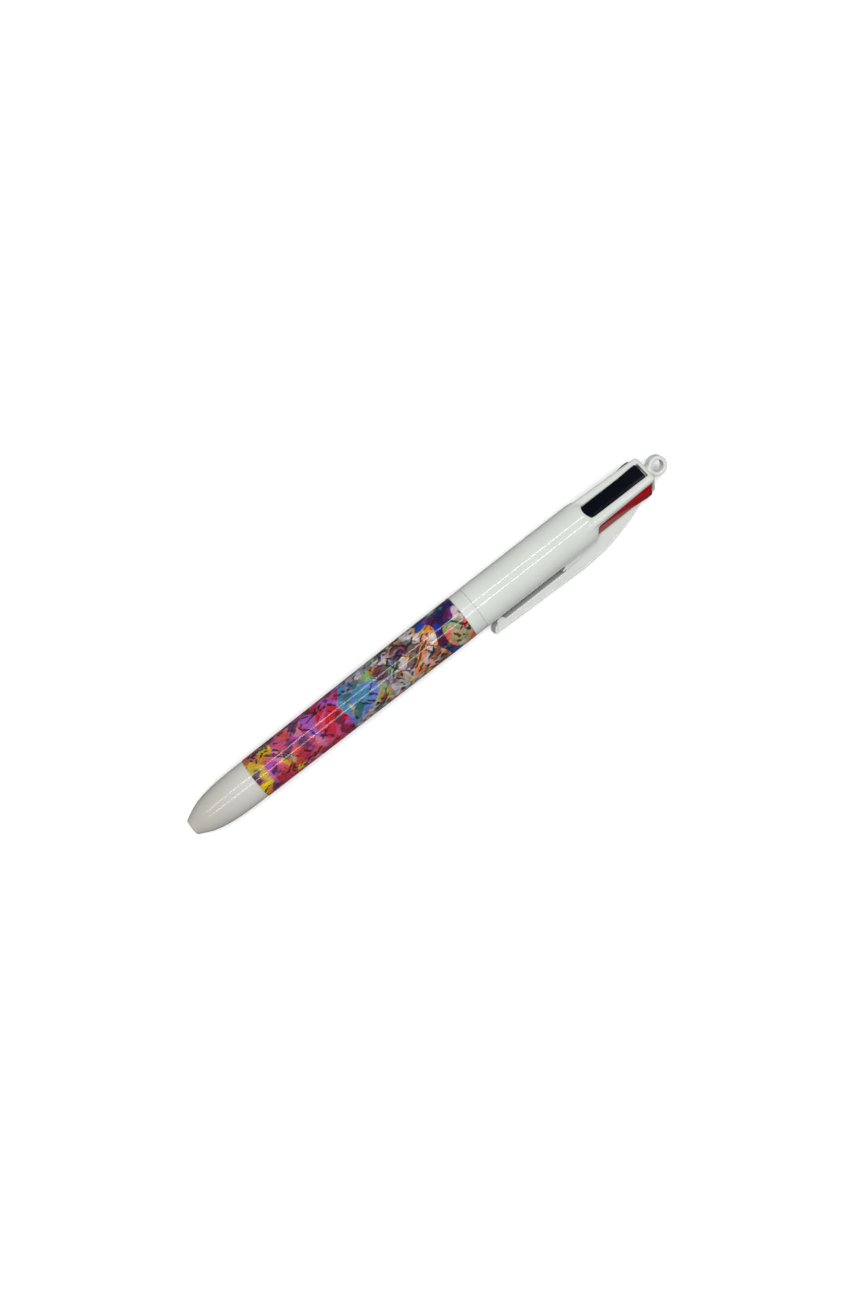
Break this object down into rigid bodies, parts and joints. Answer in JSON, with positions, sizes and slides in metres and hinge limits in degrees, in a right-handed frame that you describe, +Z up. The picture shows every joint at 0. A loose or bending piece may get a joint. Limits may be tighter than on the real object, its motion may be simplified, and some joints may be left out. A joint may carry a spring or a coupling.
{
  "type": "multicolor click pen",
  "caption": "Retractable ballpoint pen with coloured thumb sliders in a square slotted head, a pocket clip, a rear eyelet and a printed front half.",
  "frame": {"origin": "centre of the pen's box on the surface it lies on", "axes": "+X along the pen from the writing tip to the eyelet, +Z up from the surface it lies on, -Y towards the clip"},
  "size_m": [0.144, 0.0148, 0.0114],
  "materials": {
    "white_plastic": "glossy white moulded plastic, faintly greenish",
    "nose_plastic": "satin warm white moulded plastic",
    "print_film": "glossy film printed with an abstract painted pattern in many colours",
    "black_plastic": "glossy black",
    "red_plastic": "glossy deep red",
    "blue_plastic": "glossy blue",
    "green_plastic": "glossy dark green",
    "block_plastic": "natural white matte plastic",
    "tube_plastic": "translucent natural plastic",
    "spring_steel": "bright drawn wire",
    "tip_brass": "turned brass",
    "ball_metal": "polished carbide ball"
  },
  "bodies": {
    "upper_body": {"upper_barrel": "white_plastic", "ring_plug": "white_plastic", "guide_block": "block_plastic", "black_spring": "spring_steel", "red_spring": "spring_steel", "blue_spring": "spring_steel", "green_spring": "spring_steel"},
    "lower_body": {"lower_barrel": "nose_plastic", "printed_sleeve": "print_film"},
    "black_slider_body": {"black_slider": "black_plastic"},
    "black_refill_body": {"black_refill_tube": "tube_plastic", "black_ink": "black_plastic", "black_refill_tip": "tip_brass", "black_tip_ball": "ball_metal"},
    "red_slider_body": {"red_slider": "red_plastic"},
    "red_refill_body": {"red_refill_tube": "tube_plastic", "red_ink": "red_plastic", "red_refill_tip": "tip_brass", "red_tip_ball": "ball_metal"},
    "blue_slider_body": {"blue_slider": "blue_plastic"},
    "blue_refill_body": {"blue_refill_tube": "tube_plastic", "blue_ink": "blue_plastic", "blue_refill_tip": "tip_brass", "blue_tip_ball": "ball_metal"},
    "green_slider_body": {"green_slider": "green_plastic"},
    "green_refill_body": {"green_refill_tube": "tube_plastic", "green_ink": "green_plastic", "green_refill_tip": "tip_brass", "green_tip_ball": "ball_metal"}
  },
  "joints": [
    {"name": "black_slide", "type": "slide", "parent": "upper_body", "child": "black_slider_body", "axis": [-1, 0, 0], "range_m": [0, 0.0085], "stiffness_N_per_m": 200, "springref_m": -0.0075, "deforming": ["black_spring"]},
    {"name": "black_refill_bend", "type": "hinge", "parent": "black_slider_body", "child": "black_refill_body", "pos_m": [0.038, 0.00266, 0.00836], "axis": [0, -0.9397, 0.342], "range_deg": [0, 0.6]},
    {"name": "red_slide", "type": "slide", "parent": "upper_body", "child": "red_slider_body", "axis": [1, 0, 0], "range_m": [-0.0085, 0], "stiffness_N_per_m": 200, "springref_m": 0.0075, "deforming": ["red_spring"]},
    {"name": "red_refill_bend", "type": "hinge", "parent": "red_slider_body", "child": "red_refill_body", "pos_m": [0.038, -0.001, 0.00666], "axis": [0, -0.342, -0.9397], "range_deg": [0, 0.6]},
    {"name": "blue_slide", "type": "slide", "parent": "upper_body", "child": "blue_slider_body", "axis": [-1, 0, 0], "range_m": [0, 0.0085], "stiffness_N_per_m": 200, "springref_m": -0.0075, "deforming": ["blue_spring"]},
    {"name": "blue_refill_bend", "type": "hinge", "parent": "blue_slider_body", "child": "blue_refill_body", "pos_m": [0.038, 0.00071, 0.003], "axis": [0, 0.9397, -0.342], "range_deg": [0, 0.6]},
    {"name": "green_slide", "type": "slide", "parent": "upper_body", "child": "green_slider_body", "axis": [1, 0, 0], "range_m": [-0.0085, 0], "stiffness_N_per_m": 200, "springref_m": 0.0075, "deforming": ["green_spring"]},
    {"name": "green_refill_bend", "type": "hinge", "parent": "green_slider_body", "child": "green_refill_body", "pos_m": [0.038, 0.00436, 0.00471], "axis": [0, 0.342, 0.9397], "range_deg": [0, 0.6]},
    {"name": "lower_barrel_pull", "type": "slide", "parent": "upper_body", "child": "lower_body", "axis": [-1, 0, 0], "range_m": [0, 0.09]}
  ],
  "couplings": [
    {"joint": "black_refill_bend", "follows": "black_slide", "rad_per_m": 1.1819},
    {"joint": "red_refill_bend", "follows": "red_slide", "rad_per_m": -1.1819},
    {"joint": "blue_refill_bend", "follows": "blue_slide", "rad_per_m": 1.1819},
    {"joint": "green_refill_bend", "follows": "green_slide", "rad_per_m": -1.1819}
  ]
}
